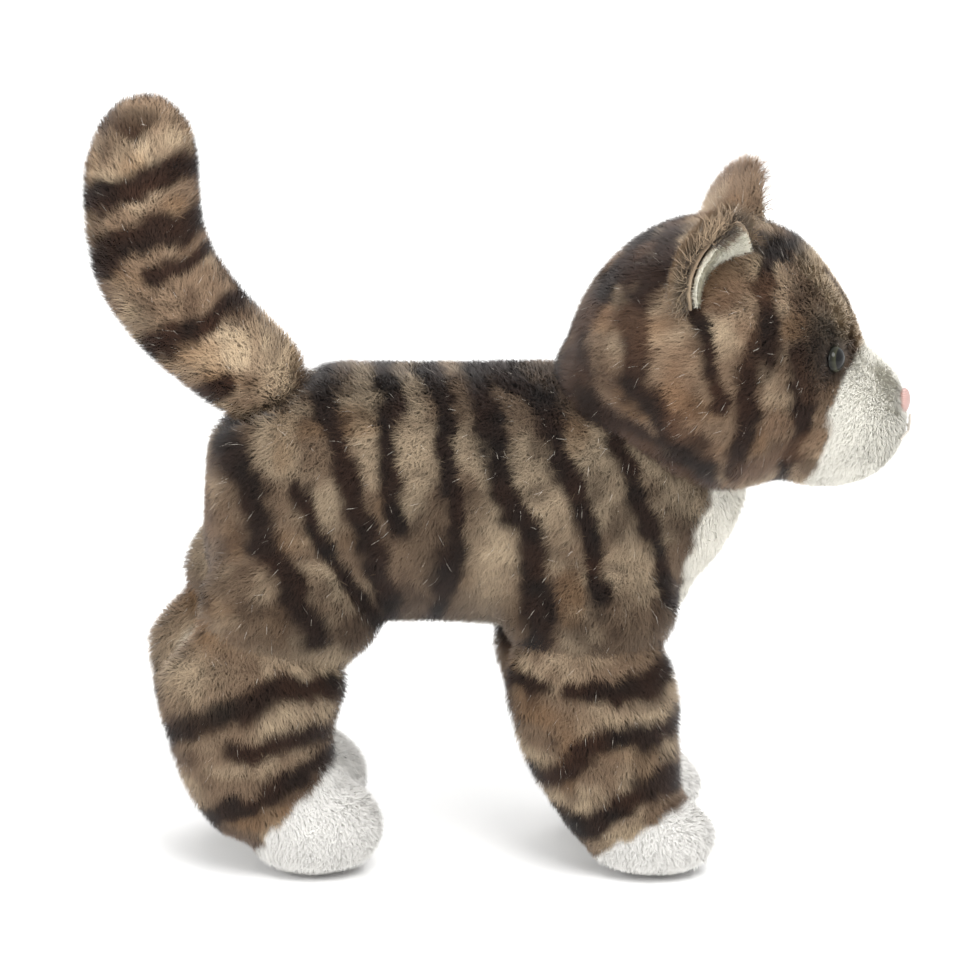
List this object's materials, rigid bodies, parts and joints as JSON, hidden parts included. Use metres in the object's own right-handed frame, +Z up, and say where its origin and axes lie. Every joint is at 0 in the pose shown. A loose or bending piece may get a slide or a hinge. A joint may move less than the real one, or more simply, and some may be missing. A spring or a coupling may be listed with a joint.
{
  "type": "plush cat",
  "caption": "Standing stuffed toy cat with long striped pile fur, raised tail, cupped ears, domed eyes and pale paws; limbs, head, ears and tail flex.",
  "frame": {"origin": "centre of the cat's footprint box at floor level", "axes": "+X the way the cat faces, +Y the cat's left side, +Z up"},
  "size_m": [0.2992, 0.1104, 0.2827],
  "materials": {
    "tabby_plush": "long pile plush, brown tabby stripes",
    "white_plush": "long pile plush, white",
    "ear_lining_plush": "short pile plush, pale grey",
    "fibre_fill": "loose polyester fibre",
    "pouch_cloth": "thin woven cloth",
    "eye_plastic": "polished",
    "washer_plastic": "as moulded",
    "pink_thread": "satin embroidery thread",
    "seam_thread": "matt thread"
  },
  "bodies": {
    "torso": {"body_panel_right": "tabby_plush", "body_panel_left": "tabby_plush", "chest_bib": "white_plush", "belly_panel": "white_plush", "closing_seam_stitches": "seam_thread", "body_stuffing": "fibre_fill"},
    "neck": {"neck_stuffing": "fibre_fill"},
    "head": {"head_panel_right": "tabby_plush", "head_panel_left": "tabby_plush", "head_crown_gusset": "tabby_plush", "muzzle_cover": "white_plush", "head_stuffing": "fibre_fill", "nose_embroidery": "pink_thread", "mouth_stitches": "pink_thread", "eye_right": "eye_plastic", "eye_left": "eye_plastic", "eye_washer_right": "washer_plastic", "eye_washer_left": "washer_plastic"},
    "ear_right": {"ear_right_back": "tabby_plush", "ear_right_lining": "ear_lining_plush"},
    "ear_left": {"ear_left_back": "tabby_plush", "ear_left_lining": "ear_lining_plush"},
    "tail_root": {"tail_root_stuffing": "fibre_fill"},
    "tail": {"tail_cover": "tabby_plush", "tail_stuffing": "fibre_fill"},
    "front_right_leg": {"front_right_leg_cover": "tabby_plush", "front_right_paw_cover": "white_plush", "front_right_leg_stuffing": "fibre_fill", "front_right_pellet_pouch": "pouch_cloth"},
    "front_left_leg": {"front_left_leg_cover": "tabby_plush", "front_left_paw_cover": "white_plush", "front_left_leg_stuffing": "fibre_fill", "front_left_pellet_pouch": "pouch_cloth"},
    "hind_right_leg": {"hind_right_leg_cover": "tabby_plush", "hind_right_paw_cover": "white_plush", "hind_right_leg_stuffing": "fibre_fill", "hind_right_pellet_pouch": "pouch_cloth"},
    "hind_left_leg": {"hind_left_leg_cover": "tabby_plush", "hind_left_paw_cover": "white_plush", "hind_left_leg_stuffing": "fibre_fill", "hind_left_pellet_pouch": "pouch_cloth"}
  },
  "joints": [
    {"name": "head_turn", "type": "hinge", "parent": "torso", "child": "neck", "pos_m": [0.05332, 0.00405, 0.168], "axis": [0, 0, 1], "range_deg": [-20, 20], "stiffness_Nm_per_rad": 2},
    {"name": "head_nod", "type": "hinge", "parent": "neck", "child": "head", "pos_m": [0.05332, 0.00405, 0.168], "axis": [0, 1, 0], "range_deg": [-12, 12], "stiffness_Nm_per_rad": 2},
    {"name": "ear_right_flap", "type": "hinge", "parent": "head", "child": "ear_right", "pos_m": [0.075, -0.0303, 0.2255], "axis": [-0.6234, -0.6099, -0.4893], "range_deg": [-20, 20], "stiffness_Nm_per_rad": 0.05},
    {"name": "ear_left_flap", "type": "hinge", "parent": "head", "child": "ear_left", "pos_m": [0.08363, 0.0311, 0.2255], "axis": [-0.4311, 0.7581, -0.4893], "range_deg": [-20, 20], "stiffness_Nm_per_rad": 0.05},
    {"name": "tail_wag", "type": "hinge", "parent": "torso", "child": "tail_root", "pos_m": [-0.08568, 0.00405, 0.176], "axis": [0, 0, 1], "range_deg": [-20, 20], "stiffness_Nm_per_rad": 0.6},
    {"name": "tail_lift", "type": "hinge", "parent": "tail_root", "child": "tail", "pos_m": [-0.08568, 0.00405, 0.176], "axis": [0, 1, 0], "range_deg": [-20, 20], "stiffness_Nm_per_rad": 0.6},
    {"name": "front_right_leg_swing", "type": "hinge", "parent": "torso", "child": "front_right_leg", "pos_m": [0.03232, -0.02595, 0.088], "axis": [0, 1, 0], "range_deg": [-20, 20], "stiffness_Nm_per_rad": 1.5},
    {"name": "front_left_leg_swing", "type": "hinge", "parent": "torso", "child": "front_left_leg", "pos_m": [0.02832, 0.03405, 0.088], "axis": [0, 1, 0], "range_deg": [-20, 20], "stiffness_Nm_per_rad": 1.5},
    {"name": "hind_right_leg_swing", "type": "hinge", "parent": "torso", "child": "hind_right_leg", "pos_m": [-0.08768, -0.02595, 0.084], "axis": [0, 1, 0], "range_deg": [-20, 20], "stiffness_Nm_per_rad": 1.5},
    {"name": "hind_left_leg_swing", "type": "hinge", "parent": "torso", "child": "hind_left_leg", "pos_m": [-0.09468, 0.03405, 0.084], "axis": [0, 1, 0], "range_deg": [-20, 20], "stiffness_Nm_per_rad": 1.5}
  ]
}
